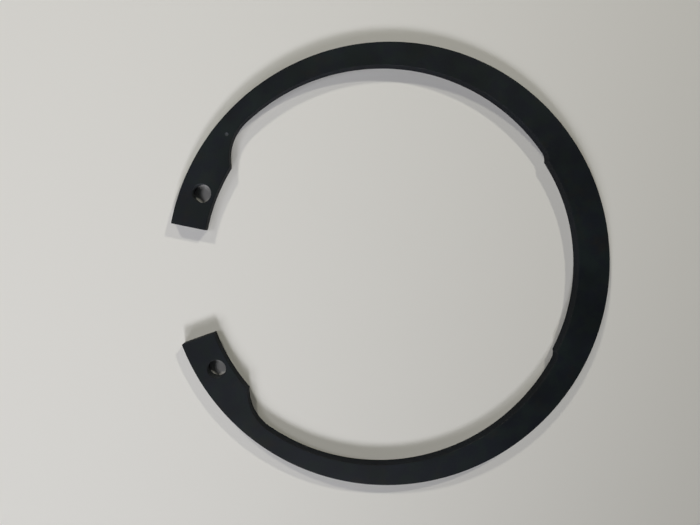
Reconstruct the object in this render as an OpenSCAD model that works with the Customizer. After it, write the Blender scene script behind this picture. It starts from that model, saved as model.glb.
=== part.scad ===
// Internal retaining ring: a flat, open ring of spring steel that is squeezed with pliers
// and springs out into a groove in a bore.
// It lies flat on z = 0 about its outer circle's centre, and its gap opens towards -X.

/* [Ring] */
// Outside diameter while the ring is free
outer_d = 85.5; // [70:0.5:120]
// Thickness of the sheet that it is stamped from
thick = 2.5; // [1.5:0.1:4]

/* [Tapered body] */
// Width of the body at the back, opposite the gap
back_w = 5.7; // [4.5:0.1:7]
// Width that the taper would come down to at the gap
front_w = 2.8; // [2:0.1:4]

/* [Land at the back] */
// Angle that the land covers
land_deg = 61; // [20:1:90]
// Height that the land stands in from the taper at its two ends
land_step = 0.7; // [0.3:0.05:1.5]
// Radius of the hollow curve between the taper and the land
land_curve_r = 2.5; // [1:0.1:5]

/* [Lugs] */
// Width of each lug
lug_w = 6.5; // [5.5:0.1:8]
// Angle of the gap, from one end face to the other
gap_deg = 31.4; // [10:0.1:45]
// Angle that each lug covers, from its end face to its inner corner
lug_deg = 20.3; // [16:0.1:28]
// Radius of the hollow curve between the taper and a lug
lug_curve_r = 9.5; // [6:0.1:14]

/* [Plier holes] */
// Diameter of each hole
hole_d = 3.5; // [2:0.1:4.5]
// Metal between the hole and its lug's end face
end_wall = 4.95; // [2:0.05:7]
// Metal between the hole and its lug's inner edge
inner_wall = 0.8; // [0.5:0.05:1.5]

/* [Hidden] */
$fn = 240;

outer_r = outer_d / 2;
lug_r = outer_r - lug_w;

// The taper is a round bore that is off centre, towards the gap
bore_r = outer_r - (back_w + front_w) / 2;
bore_centre = [-(back_w - front_w) / 2, 0];

// Angles are measured about the ring's centre, from the middle of the back
land_end = land_deg / 2;
lug_end = 180 - gap_deg / 2;
lug_start = lug_end - lug_deg;

land_r = taper_r(land_end) - land_step;
land_corner = on_circle(land_r, land_end);
lug_corner = on_circle(lug_r, lug_start);

hole_r = hole_d / 2;
hole_circle_r = lug_r + inner_wall + hole_r;
hole_at = lug_end - asin((end_wall + hole_r) / hole_circle_r);

reach = outer_d; // well past the outer edge
past = 1; // how far a cutter runs past each face
let_in = 0.0005; // how far the hollow curves run into the bore's wall, to meet it cleanly

// Directions of the hollow curves' centres from the bore's centre, and the centres
land_curve_at = heading(land_corner - bore_centre) + curve_lead(land_corner, land_curve_r);
lug_curve_at = heading(lug_corner - bore_centre) - curve_lead(lug_corner, lug_curve_r);
land_curve_centre = bore_centre + on_circle(curve_arm(land_curve_r), land_curve_at);
lug_curve_centre = bore_centre + on_circle(curve_arm(lug_curve_r), lug_curve_at);

function on_circle(r, deg) = r * [cos(deg), sin(deg)];
function heading(p) = atan2(p.y, p.x);

// Distance from the ring's centre to the tapered bore, in one direction
function taper_r(deg) =
    bore_centre.x * cos(deg) + sqrt(pow(bore_r, 2) - pow(bore_centre.x * sin(deg), 2));

// Distance from the bore's centre to the centre of a curve that touches the bore from inside
function curve_arm(r) = bore_r + let_in - r;

// Angle at the bore's centre between a corner and the centre of the curve that ends at it
function curve_lead(corner, r) =
    let (arm = curve_arm(r), far = norm(corner - bore_centre))
    acos((pow(arm, 2) + pow(far, 2) - pow(r, 2)) / (2 * arm * far));

// Flat wedge from a tip, between two directions less than 180 degrees apart
module wedge(tip, from, to) {
    polygon([for (step = [-1 : 2])
        step < 0 ? tip : tip + on_circle(reach, from + (to - from) * step / 2)]);
}

// Opening along one side, from the land's end to the lug's inner corner
module side_opening() {
    intersection() {
        translate(bore_centre) circle(r = bore_r);
        wedge(bore_centre, land_curve_at, lug_curve_at);
    }
    translate(land_curve_centre) circle(r = land_curve_r);
    translate(lug_curve_centre) circle(r = lug_curve_r);
}

// Everything inside the ring's inner edge. The land's and the lugs' circles run on under
// the hollow curves, so each corner is where the two circles cross.
module inner_opening() {
    land_half = heading(land_curve_centre);
    lug_from = heading(lug_curve_centre);
    circle(r = min(land_r, lug_r));
    intersection() {
        circle(r = land_r);
        wedge([0, 0], -land_half, land_half);
    }
    intersection() {
        circle(r = lug_r);
        wedge([0, 0], lug_from, 360 - lug_from);
    }
    side_opening();
    mirror([0, 1]) side_opening();
}

module plier_hole() {
    translate([hole_circle_r * cos(hole_at), hole_circle_r * sin(hole_at), -past])
        cylinder(r = hole_r, h = thick + 2 * past);
}

module ring() {
    color([0.13, 0.14, 0.15])
    difference() {
        linear_extrude(height = thick)
        difference() {
            circle(r = outer_r);
            inner_opening();
            wedge([0, 0], lug_end, 360 - lug_end);
        }
        plier_hole();
        mirror([0, 1, 0]) plier_hole();
    }
}

ring();
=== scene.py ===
import math

import bpy
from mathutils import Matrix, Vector


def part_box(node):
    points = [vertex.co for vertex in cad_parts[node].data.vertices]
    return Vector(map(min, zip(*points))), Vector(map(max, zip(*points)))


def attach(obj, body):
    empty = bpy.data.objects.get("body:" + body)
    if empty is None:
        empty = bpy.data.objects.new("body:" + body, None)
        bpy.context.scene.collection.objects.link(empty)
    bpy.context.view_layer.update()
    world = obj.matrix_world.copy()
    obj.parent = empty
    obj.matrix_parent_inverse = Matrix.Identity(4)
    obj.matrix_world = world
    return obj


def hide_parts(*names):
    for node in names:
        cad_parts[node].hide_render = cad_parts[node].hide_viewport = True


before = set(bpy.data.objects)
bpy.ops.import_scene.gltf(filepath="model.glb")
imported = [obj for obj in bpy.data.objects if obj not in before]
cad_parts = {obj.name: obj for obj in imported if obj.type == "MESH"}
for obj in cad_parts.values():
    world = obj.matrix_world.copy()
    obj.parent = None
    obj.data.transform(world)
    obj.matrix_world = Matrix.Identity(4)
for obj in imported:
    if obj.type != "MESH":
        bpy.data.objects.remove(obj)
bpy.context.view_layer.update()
mm = 0.001
print("frame loaded")


# Shared helpers

def addNode(tree, kind, inputs=None, **settings):
    node = tree.nodes.new(kind)
    for name, value in settings.items():
        setattr(node, name, value)
    for name, value in (inputs or {}).items():
        if isinstance(value, bpy.types.NodeSocket):
            tree.links.new(value, node.inputs[name])
        else:
            node.inputs[name].default_value = value
    return node


def addMath(tree, operation, first, second=0.0):
    return addNode(tree, "ShaderNodeMath", {0: first, 1: second}, operation=operation).outputs[0]


def onCircle(radius, angle):
    return Vector((radius * math.cos(angle), radius * math.sin(angle), 0))


def heading(vector):
    return math.atan2(vector.y, vector.x)


# The ring's shape, sizes in millimetres and degrees.
# The outer radius and the thickness come from the frame.

ringSizes = {
    "backWidth": 5.7,        # body at the back, opposite the gap
    "frontWidth": 2.8,       # what the taper would come down to at the gap
    "landAngle": 61,         # raised land at the back
    "landStep": 0.7,         # how far the land stands in from the taper
    "landCurveRadius": 2.5,  # hollow curve at each end of the land
    "lugWidth": 6.5,
    "lugAngle": 20.3,
    "gapAngle": 31.4,
    "lugCurveRadius": 9.5,   # hollow curve that leads into each lug
    "holeDiameter": 3.5,
    "endWall": 4.95,         # metal between a hole and the end face
    "innerWall": 0.8,        # metal between a hole and the lug's inner edge
    "stepLength": 0.5,       # length of one straight step along the outline
    "rolledEdge": 0.11,      # rounding where the punch went in, on the upper side
    "cornerEdge": 0.12,      # rounding down the upright corners
    "burrEdge": 0.07,        # rounding on the lower side
    "nickPlace": (-29.4, 27.4),   # small dent in the upper face, by the upper lug
    "nickWidth": 0.7,
    "nickDepth": 0.16,
    "weldDistance": 0.001,   # points closer than this are joined
    "sharpAngle": 36,        # edges that bend more than this are rounded
    "holeSteps": 72,
    "edgeSegments": 4,
}


def ringOutline(sizes, outerRadius):
    # Arcs of the upper half, each as its centre, radius, first angle and sweep.
    origin = Vector((0, 0, 0))
    meanWidth = (sizes["backWidth"] + sizes["frontWidth"]) / 2 * mm
    boreRadius = outerRadius - meanWidth
    boreCentre = Vector((-(sizes["backWidth"] - sizes["frontWidth"]) / 2 * mm, 0, 0))
    landEnd = math.radians(sizes["landAngle"] / 2)
    lugEnd = math.radians(180 - sizes["gapAngle"] / 2)
    lugStart = lugEnd - math.radians(sizes["lugAngle"])
    across = boreCentre.x * math.sin(landEnd)
    taperRadius = boreCentre.x * math.cos(landEnd) + math.sqrt(boreRadius**2 - across**2)
    landRadius = taperRadius - sizes["landStep"] * mm
    lugRadius = outerRadius - sizes["lugWidth"] * mm

    def hollowCurve(corner, radius, side):
        # It touches the bore from inside and ends at the corner.
        arm = boreRadius - radius
        toCorner = corner - boreCentre
        far = toCorner.length
        lead = math.acos((arm**2 + far**2 - radius**2) / (2 * arm * far))
        touching = heading(toCorner) + side * lead
        centre = boreCentre + onCircle(arm, touching)
        return centre, touching, heading(corner - centre) % math.tau

    landCurveRadius = sizes["landCurveRadius"] * mm
    lugCurveRadius = sizes["lugCurveRadius"] * mm
    landCentre, landTouch, landCorner = hollowCurve(onCircle(landRadius, landEnd), landCurveRadius, 1)
    lugCentre, lugTouch, lugCorner = hollowCurve(onCircle(lugRadius, lugStart), lugCurveRadius, -1)
    arcs = {
        "Outer": (origin, outerRadius, 0, lugEnd),
        "Land": (origin, landRadius, 0, landEnd),
        "Land Curve": (landCentre, landCurveRadius, landCorner - math.tau, landTouch + math.tau - landCorner),
        "Taper": (boreCentre, boreRadius, landTouch, lugTouch - landTouch),
        "Lug Curve": (lugCentre, lugCurveRadius, lugTouch, lugCorner - lugTouch),
        "Lug": (origin, lugRadius, lugStart, lugEnd - lugStart),
    }
    holeRadius = sizes["holeDiameter"] / 2 * mm
    holeCircle = lugRadius + sizes["innerWall"] * mm + holeRadius
    holeAngle = lugEnd - math.asin((sizes["endWall"] * mm + holeRadius) / holeCircle)
    places = {
        "End Face Inside": onCircle(lugRadius, lugEnd),
        "End Face Outside": onCircle(outerRadius, lugEnd),
        "Hole Centre": onCircle(holeCircle, holeAngle),
    }
    return arcs, places, holeRadius


def ringTree(settings, arcNames):
    tree = bpy.data.node_groups.new("ringShape", "GeometryNodeTree")
    tree.is_modifier = True

    def newInput(name, kind="NodeSocketFloat"):
        tree.interface.new_socket(name=name, in_out="INPUT", socket_type=kind)

    for name in arcNames:
        newInput(name + " Centre", "NodeSocketVector")
        newInput(name + " Radius")
        newInput(name + " From")
        newInput(name + " Sweep")
    for name in ("End Face Inside", "End Face Outside", "Hole Centre"):
        newInput(name, "NodeSocketVector")
    newInput("Nick Centre", "NodeSocketVector")
    for name in ("Nick Radius", "Hole Radius", "Thickness", "Step Length", "Corner Share", "Burr Share"):
        newInput(name)
    newInput("Finish", "NodeSocketMaterial")
    tree.interface.new_socket(name="Ring", in_out="OUTPUT", socket_type="NodeSocketGeometry")
    sizes = tree.nodes.new("NodeGroupInput").outputs

    # Half of the outline: six arcs, the end face and the plier hole
    half = tree.nodes.new("GeometryNodeJoinGeometry")
    for name in arcNames:
        length = addMath(tree, "MULTIPLY", sizes[name + " Radius"], sizes[name + " Sweep"])
        steps = addMath(tree, "CEIL", addMath(tree, "DIVIDE", length, sizes["Step Length"]))
        arc = addNode(tree, "GeometryNodeCurveArc", {
            "Resolution": addMath(tree, "ADD", steps, 1.0),
            "Radius": sizes[name + " Radius"],
            "Start Angle": sizes[name + " From"],
            "Sweep Angle": sizes[name + " Sweep"],
        }, mode="RADIUS")
        placed = addNode(tree, "GeometryNodeTransform", {
            "Geometry": arc.outputs["Curve"],
            "Translation": sizes[name + " Centre"],
        })
        tree.links.new(placed.outputs[0], half.inputs[0])
    endFace = addNode(tree, "GeometryNodeCurvePrimitiveLine", {
        "Start": sizes["End Face Inside"],
        "End": sizes["End Face Outside"],
    }, mode="POINTS")
    tree.links.new(endFace.outputs[0], half.inputs[0])
    hole = addNode(tree, "GeometryNodeCurvePrimitiveCircle", {
        "Resolution": settings["holeSteps"],
        "Radius": sizes["Hole Radius"],
    }, mode="RADIUS")
    placedHole = addNode(tree, "GeometryNodeTransform", {
        "Geometry": hole.outputs["Curve"],
        "Translation": sizes["Hole Centre"],
    })
    tree.links.new(placedHole.outputs[0], half.inputs[0])

    # The other half is its mirror image, and the two are welded into closed loops
    mirrored = addNode(tree, "GeometryNodeTransform", {
        "Geometry": half.outputs[0],
        "Scale": (1, -1, 1),
    })
    whole = tree.nodes.new("GeometryNodeJoinGeometry")
    tree.links.new(half.outputs[0], whole.inputs[0])
    tree.links.new(mirrored.outputs[0], whole.inputs[0])
    wires = addNode(tree, "GeometryNodeCurveToMesh", {"Curve": whole.outputs[0]})
    welded = addNode(tree, "GeometryNodeMergeByDistance", {
        "Geometry": wires.outputs[0],
        "Distance": settings["weldDistance"] * mm,
    })
    loops = addNode(tree, "GeometryNodeMeshToCurve", {"Mesh": welded.outputs[0]})

    # Stamped from the sheet: filled, pushed up to its thickness and closed below
    flat = addNode(tree, "GeometryNodeFillCurve", {"Curve": loops.outputs[0]}, mode="NGONS")
    up = addNode(tree, "ShaderNodeCombineXYZ", {"Z": sizes["Thickness"]})
    raised = addNode(tree, "GeometryNodeExtrudeMesh", {
        "Mesh": flat.outputs[0],
        "Offset": up.outputs[0],
        "Offset Scale": 1.0,
        "Individual": False,
    }, mode="FACES")
    under = addNode(tree, "GeometryNodeFlipFaces", {"Mesh": flat.outputs[0]})
    closed = tree.nodes.new("GeometryNodeJoinGeometry")
    tree.links.new(raised.outputs["Mesh"], closed.inputs[0])
    tree.links.new(under.outputs[0], closed.inputs[0])
    solid = addNode(tree, "GeometryNodeMergeByDistance", {
        "Geometry": closed.outputs[0],
        "Distance": settings["weldDistance"] * mm,
    })

    # The nick is a shallow bite out of the upper face
    ball = addNode(tree, "GeometryNodeMeshIcoSphere", {
        "Radius": sizes["Nick Radius"],
        "Subdivisions": 5,
    })
    bite = addNode(tree, "GeometryNodeTransform", {
        "Geometry": ball.outputs["Mesh"],
        "Translation": sizes["Nick Centre"],
    })
    nicked = addNode(tree, "GeometryNodeMeshBoolean", {
        "Mesh 1": solid.outputs[0],
        "Mesh 2": bite.outputs[0],
    }, operation="DIFFERENCE", solver="EXACT")

    # Each sharp edge gets its share of the rounding, by its height
    angle = tree.nodes.new("GeometryNodeInputMeshEdgeAngle").outputs["Unsigned Angle"]
    sharp = addMath(tree, "GREATER_THAN", angle, math.radians(settings["sharpAngle"]))
    position = tree.nodes.new("GeometryNodeInputPosition").outputs[0]
    fromNick = addNode(tree, "ShaderNodeVectorMath", {
        0: position,
        1: sizes["Nick Centre"],
    }, operation="DISTANCE").outputs["Value"]
    outside = addMath(tree, "GREATER_THAN", fromNick, addMath(tree, "MULTIPLY", sizes["Nick Radius"], 1.2))
    sharp = addMath(tree, "MULTIPLY", sharp, outside)
    height = addNode(tree, "ShaderNodeSeparateXYZ", {0: position}).outputs["Z"]
    share = addNode(tree, "ShaderNodeMapRange", {
        "Value": height,
        "From Max": sizes["Thickness"],
        "To Min": sizes["Burr Share"],
    }).outputs[0]
    midway = addMath(tree, "COMPARE", addMath(tree, "DIVIDE", height, sizes["Thickness"]), 0.5)
    chosen = addNode(tree, "GeometryNodeSwitch", {
        "Switch": midway,
        "False": share,
        "True": sizes["Corner Share"],
    }, input_type="FLOAT")
    weighted = addNode(tree, "GeometryNodeStoreNamedAttribute", {
        "Geometry": nicked.outputs[0],
        "Name": "bevel_weight_edge",
        "Value": addMath(tree, "MULTIPLY", sharp, chosen.outputs[0]),
    }, data_type="FLOAT", domain="EDGE")

    # Marks the nick, where the coat is worn thin to bare metal, and the plier-hole walls, whose lighter
    # colour is painted light bounced up from the floor inside the holes
    inNick = addMath(tree, "LESS_THAN", fromNick, addMath(tree, "MULTIPLY", sizes["Nick Radius"], 1.02))
    belowFace = addMath(tree, "LESS_THAN", height, addMath(tree, "MULTIPLY", sizes["Thickness"], 0.999))
    flattened = addNode(tree, "ShaderNodeVectorMath", {0: position, 1: (1, 1, 0)}, operation="MULTIPLY")
    folded = addNode(tree, "ShaderNodeVectorMath", {0: flattened.outputs[0]}, operation="ABSOLUTE")
    holeSide = addNode(tree, "ShaderNodeVectorMath", {0: sizes["Hole Centre"]}, operation="ABSOLUTE")
    fromHole = addNode(tree, "ShaderNodeVectorMath", {
        0: folded.outputs[0],
        1: holeSide.outputs[0],
    }, operation="DISTANCE").outputs["Value"]
    inHole = addMath(tree, "LESS_THAN", fromHole, addMath(tree, "MULTIPLY", sizes["Hole Radius"], 1.02))
    nickWearAndHoleLight = addMath(tree, "ADD", addMath(tree, "MULTIPLY", inNick, belowFace), inHole)
    marked = addNode(tree, "GeometryNodeStoreNamedAttribute", {
        "Geometry": weighted.outputs[0],
        "Name": "nickWearAndHoleLight",
        "Value": nickWearAndHoleLight,
    }, data_type="FLOAT", domain="FACE")

    # The two flat faces stay flat shaded, everything else is smooth
    facing = tree.nodes.new("GeometryNodeInputNormal").outputs["Normal"]
    upright = addMath(tree, "ABSOLUTE", addNode(tree, "ShaderNodeSeparateXYZ", {0: facing}).outputs["Z"])
    smooth = addNode(tree, "GeometryNodeSetShadeSmooth", {
        "Geometry": marked.outputs[0],
        "Shade Smooth": addMath(tree, "LESS_THAN", upright, 0.999),
    })
    real = addNode(tree, "GeometryNodeRealizeInstances", {"Geometry": smooth.outputs[0]})
    finished = addNode(tree, "GeometryNodeSetMaterial", {
        "Geometry": real.outputs[0],
        "Material": sizes["Finish"],
    })
    addNode(tree, "NodeGroupOutput", {0: finished.outputs[0]})
    return tree


def setInputs(modifier, values):
    for item in modifier.node_group.interface.items_tree:
        if item.in_out == "INPUT":
            modifier[item.identifier] = values[item.name]


def makeRing(sizes, finish):
    low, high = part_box("ring")
    arcs, places, holeRadius = ringOutline(sizes, min(high.x, high.y))
    values = {name: list(place) for name, place in places.items()}
    for name, (centre, radius, first, sweep) in arcs.items():
        values[name + " Centre"] = list(centre)
        values[name + " Radius"] = radius
        values[name + " From"] = first
        values[name + " Sweep"] = sweep
    half = sizes["nickWidth"] / 2
    nickRadius = (half**2 + sizes["nickDepth"]**2) / (2 * sizes["nickDepth"])
    nickHeight = high.z + (nickRadius - sizes["nickDepth"]) * mm
    values["Nick Radius"] = nickRadius * mm
    values["Nick Centre"] = [*(mm * across for across in sizes["nickPlace"]), nickHeight]
    values["Hole Radius"] = holeRadius
    values["Thickness"] = high.z - low.z
    values["Step Length"] = sizes["stepLength"] * mm
    values["Corner Share"] = sizes["cornerEdge"] / sizes["rolledEdge"]
    values["Burr Share"] = sizes["burrEdge"] / sizes["rolledEdge"]
    values["Finish"] = finish
    blank = bpy.data.objects.new("ringBlank", bpy.data.meshes.new("ringBlank"))
    bpy.context.scene.collection.objects.link(blank)
    shape = blank.modifiers.new("ringShape", "NODES")
    shape.node_group = ringTree(sizes, list(arcs))
    setInputs(shape, values)
    edges = blank.modifiers.new("roundedEdges", "BEVEL")
    edges.limit_method = "WEIGHT"
    edges.width = sizes["rolledEdge"] * mm
    edges.segments = sizes["edgeSegments"]
    edges.loop_slide = False
    edges.harden_normals = True
    evaluated = blank.evaluated_get(bpy.context.evaluated_depsgraph_get())
    mesh = bpy.data.meshes.new_from_object(evaluated)
    mesh.name = "retainingRing"
    bpy.data.objects.remove(blank)
    ring = bpy.data.objects.new("retainingRing", mesh)
    bpy.context.scene.collection.objects.link(ring)
    return ring


# Black finish: phosphate over spring steel, a little uneven in colour and worn thin along the edges, with
# painted shade on the cut walls and painted bounced light on the plier-hole walls.
# Colours are linear, widths in millimetres.

finishLook = {
    "blueBlack": (0.0070, 0.0094, 0.0138, 1),
    "greenBlack": (0.0074, 0.0121, 0.0130, 1),
    "oliveBlack": (0.0126, 0.0120, 0.0108, 1),
    # the cut walls' own darker surface, darkened further as painted shade where little light reaches them
    "shearedWallAndShade": (0.0034, 0.0060, 0.0104, 1),
    "wornEdge": (0.0150, 0.0165, 0.0165, 1),
    # bare metal in the nick, also used on the plier-hole walls as painted light bounced from the floor
    "nickWearAndHoleLight": (0.0500, 0.0560, 0.0620, 1),
    "blotchWidth": 3.2,
    "cloudWidth": 12,
    "grainWidth": 0.28,
    "streakWidth": 0.16,
    "roughness": (0.48, 0.55),
    "wallRoughness": 0.72,
    "cloudShade": (0.75, 1.25),   # how much each pattern darkens and lightens the coat
    "grainShade": (0.92, 1.08),
    "streakShade": 0.3,
    "oliveShare": 0.6,
    "wornSmoothing": 0.16,
    "bumpStrength": 0.22,
    "bumpDepth": 0.02,
    "specular": 0.20,
}


def makeFinish(look):
    material = bpy.data.materials.new("blackPhosphate")
    material.use_nodes = True
    tree = material.node_tree
    shader = tree.nodes["Principled BSDF"]
    shader.inputs["Specular IOR Level"].default_value = look["specular"]
    place = tree.nodes.new("ShaderNodeTexCoord").outputs["Object"]

    def noise(width, shift, detail, stretch=(1, 1, 1)):
        moved = addNode(tree, "ShaderNodeMapping", {
            "Vector": place,
            "Location": (shift, shift * 0.7, shift * 1.3),
            "Scale": stretch,
        })
        return addNode(tree, "ShaderNodeTexNoise", {
            "Vector": moved.outputs[0],
            "Scale": 1 / (width * mm),
            "Detail": detail,
            "Roughness": 0.6,
        }).outputs["Fac"]

    def spread(value, low, high, first=0.0, last=1.0):
        return addNode(tree, "ShaderNodeMapRange", {
            "Value": value,
            "From Min": low,
            "From Max": high,
            "To Min": first,
            "To Max": last,
        }, interpolation_type="SMOOTHSTEP").outputs["Result"]

    def blend(factor, first, second, kind="MIX"):
        node = addNode(tree, "ShaderNodeMix", {0: factor}, data_type="RGBA", blend_type=kind)
        for socket, value in ((node.inputs[6], first), (node.inputs[7], second)):
            if isinstance(value, bpy.types.NodeSocket):
                tree.links.new(value, socket)
            else:
                socket.default_value = value
        return node.outputs[2]

    # Flat faces: blotches of blue, green and olive black under a fine grain
    blotch = noise(look["blotchWidth"], 0.0, 2)
    stain = noise(look["blotchWidth"] * 1.4, 0.31, 3)
    cloud = noise(look["cloudWidth"], 0.05, 2)
    grain = noise(look["grainWidth"], 0.53, 5)
    face = blend(spread(blotch, 0.38, 0.62), look["blueBlack"], look["greenBlack"])
    face = blend(spread(stain, 0.52, 0.72, 0, look["oliveShare"]), face, look["oliveBlack"])

    # Cut walls show fine upright streaks from the shear
    streak = noise(look["streakWidth"], 0.71, 3, (1, 1, 0.08))
    upright = addNode(tree, "ShaderNodeSeparateXYZ", {
        0: tree.nodes.new("ShaderNodeNewGeometry").outputs["Normal"],
    }).outputs["Z"]
    slope = addMath(tree, "ABSOLUTE", upright)
    wall = spread(slope, 0.12, 0.5, 1, 0)
    # Walls take the sheared-wall colour, kept dark partly as painted shade
    body = blend(wall, face, look["shearedWallAndShade"])
    rounded = addMath(tree, "MULTIPLY", spread(slope, 0.15, 0.55), spread(slope, 0.85, 0.995, 1, 0))
    worn = addMath(tree, "MULTIPLY", rounded, spread(noise(0.9, 0.9, 4), 0.4, 0.66))
    body = blend(worn, body, look["wornEdge"])
    # Lightens the nick, worn to bare metal, and paints bounced light onto the plier-hole walls
    nickWearAndHoleLight = addNode(tree, "ShaderNodeAttribute", attribute_name="nickWearAndHoleLight").outputs["Fac"]
    body = blend(nickWearAndHoleLight, body, look["nickWearAndHoleLight"])
    clouded = spread(cloud, 0.3, 0.7, *look["cloudShade"])
    grained = spread(grain, 0.3, 0.7, *look["grainShade"])
    shade = addMath(tree, "MULTIPLY", clouded, grained)
    streakShade = look["streakShade"]
    streaked = addMath(tree, "MULTIPLY", wall, spread(streak, 0.3, 0.7, -streakShade, streakShade))
    shade = addMath(tree, "MULTIPLY", shade, addMath(tree, "ADD", streaked, 1.0))
    lit = addNode(tree, "ShaderNodeVectorMath", {0: body, "Scale": shade}, operation="SCALE").outputs[0]
    tree.links.new(lit, shader.inputs["Base Color"])

    # Rougher where the coat is thick, smoother where it is worn
    low, high = look["roughness"]
    coat = spread(addMath(tree, "ADD", blotch, grain), 0.7, 1.3, low, high)
    smoother = addMath(tree, "MULTIPLY", worn, look["wornSmoothing"])
    coat = addMath(tree, "SUBTRACT", coat, smoother)
    rough = addNode(tree, "ShaderNodeMix", {0: wall, 2: coat, 3: look["wallRoughness"]}).outputs[0]
    tree.links.new(rough, shader.inputs["Roughness"])
    relief = addMath(tree, "ADD", grain, addMath(tree, "MULTIPLY", wall, streak))
    relief = addMath(tree, "ADD", relief, addMath(tree, "MULTIPLY", blotch, 0.8))
    bump = addNode(tree, "ShaderNodeBump", {
        "Height": relief,
        "Strength": look["bumpStrength"],
        "Distance": look["bumpDepth"] * mm,
    })
    tree.links.new(bump.outputs[0], shader.inputs["Normal"])
    return material


blackFinish = makeFinish(finishLook)
ring = makeRing(ringSizes, blackFinish)
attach(ring, "root")
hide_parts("ring")
print("ring made,", len(ring.data.polygons), "faces")


# Floor, light and camera

studio = {
    "floorSize": 3.0,                   # metres
    "floorColour": (0.811, 0.80, 0.770, 1),
    "floorRoughness": 0.9,
    "floorSpecular": 0.1,
    "brightness": 0.585,                # how bright the lit floor looks, from 0 to 1
    "ambientShare": 0.004,
    "lightDistance": 0.8,               # metres
    # Each light has the direction towards it, its share of the floor's light, its width in metres and
    # its tint. Both spots have one cone, in degrees, and are aimed at one place, in millimetres.
    "softLights": {
        "backLeftLight": {"towards": (-1.3, 2.9, 2.5), "share": 0.18, "width": 0.06, "tint": "warm"},
        "backRightLight": {"towards": (1.95, 2.45, 2.5), "share": 0.19, "width": 0.04, "tint": "warm"},
        "sideLight": {"towards": (-1.5, 0.1, 2.5), "share": 0.14, "width": 0.24, "tint": "cool"},
    },
    "spots": {
        "frontSpot": {"towards": (-0.4, -3.3, 2.5), "share": 0.40, "width": 0.18, "tint": "cool"},
        "frontLeftSpot": {"towards": (-1.9, -2.9, 2.5), "share": 0.27, "width": 0.32, "tint": "cool"},
    },
    "tints": {"warm": (1.02, 1.0, 0.88), "cool": (0.995, 1.0, 1.05)},
    "spotCone": 29,
    "spotAim": (-95, -5),
}

cameraSetup = {
    "place": (-12.12, 8.69, 107.45),    # millimetres
    "turn": (-3.582, -2.486, -3.903),   # degrees
    "lens": 28.286,
    "sensor": 36.0,
}


def makeFloor(setup):
    half = setup["floorSize"] / 2
    mesh = bpy.data.meshes.new("floor")
    corners = [(-half, -half, 0), (half, -half, 0), (half, half, 0), (-half, half, 0)]
    mesh.from_pydata(corners, [], [(0, 1, 2, 3)])
    floor = bpy.data.objects.new("floor", mesh)
    bpy.context.scene.collection.objects.link(floor)
    material = bpy.data.materials.new("paleFloor")
    material.use_nodes = True
    shader = material.node_tree.nodes["Principled BSDF"]
    shader.inputs["Base Color"].default_value = setup["floorColour"]
    shader.inputs["Roughness"].default_value = setup["floorRoughness"]
    shader.inputs["Specular IOR Level"].default_value = setup["floorSpecular"]
    mesh.materials.append(material)


def placeLamp(light, place, facing):
    lamp = bpy.data.objects.new(light.name, light)
    lamp.location = place
    lamp.rotation_euler = facing.to_track_quat("Z", "Y").to_euler()
    bpy.context.scene.collection.objects.link(lamp)


def makeLights(setup):
    floorLight = setup["brightness"] * math.pi / setup["floorColour"][1]
    distance = setup["lightDistance"]
    for name, settings in setup["softLights"].items():
        direction = Vector(settings["towards"]).normalized()
        light = bpy.data.lights.new(name, "AREA")
        light.shape = "DISK"
        light.size = settings["width"]
        light.energy = settings["share"] * floorLight * math.pi * distance**2 / direction.z
        light.color = setup["tints"][settings["tint"]]
        placeLamp(light, direction * distance, direction)
    aim = Vector((*setup["spotAim"], 0)) * mm
    for name, settings in setup["spots"].items():
        direction = Vector(settings["towards"]).normalized()
        light = bpy.data.lights.new(name, "SPOT")
        light.spot_size = math.radians(setup["spotCone"])
        light.spot_blend = 1.0
        light.shadow_soft_size = settings["width"] / 2
        light.energy = settings["share"] * floorLight * 4 * math.pi * distance**2 / direction.z
        light.color = setup["tints"][settings["tint"]]
        placeLamp(light, direction * distance, direction * distance - aim)
    world = bpy.data.worlds.new("studio")
    world.use_nodes = True
    background = world.node_tree.nodes["Background"]
    background.inputs["Color"].default_value = (1, 1, 1, 1)
    background.inputs["Strength"].default_value = setup["ambientShare"] * floorLight / math.pi
    bpy.context.scene.world = world
    bpy.context.scene.view_settings.view_transform = "Standard"


def makeCamera(setup):
    camera = bpy.data.cameras.new("camera")
    camera.lens = setup["lens"]
    camera.sensor_width = setup["sensor"]
    camera.clip_start = 0.005
    holder = bpy.data.objects.new("camera", camera)
    holder.location = Vector(setup["place"]) * mm
    holder.rotation_euler = [math.radians(angle) for angle in setup["turn"]]
    bpy.context.scene.collection.objects.link(holder)
    bpy.context.scene.camera = holder


makeFloor(studio)
makeLights(studio)
makeCamera(cameraSetup)
print("floor, lights and camera set")
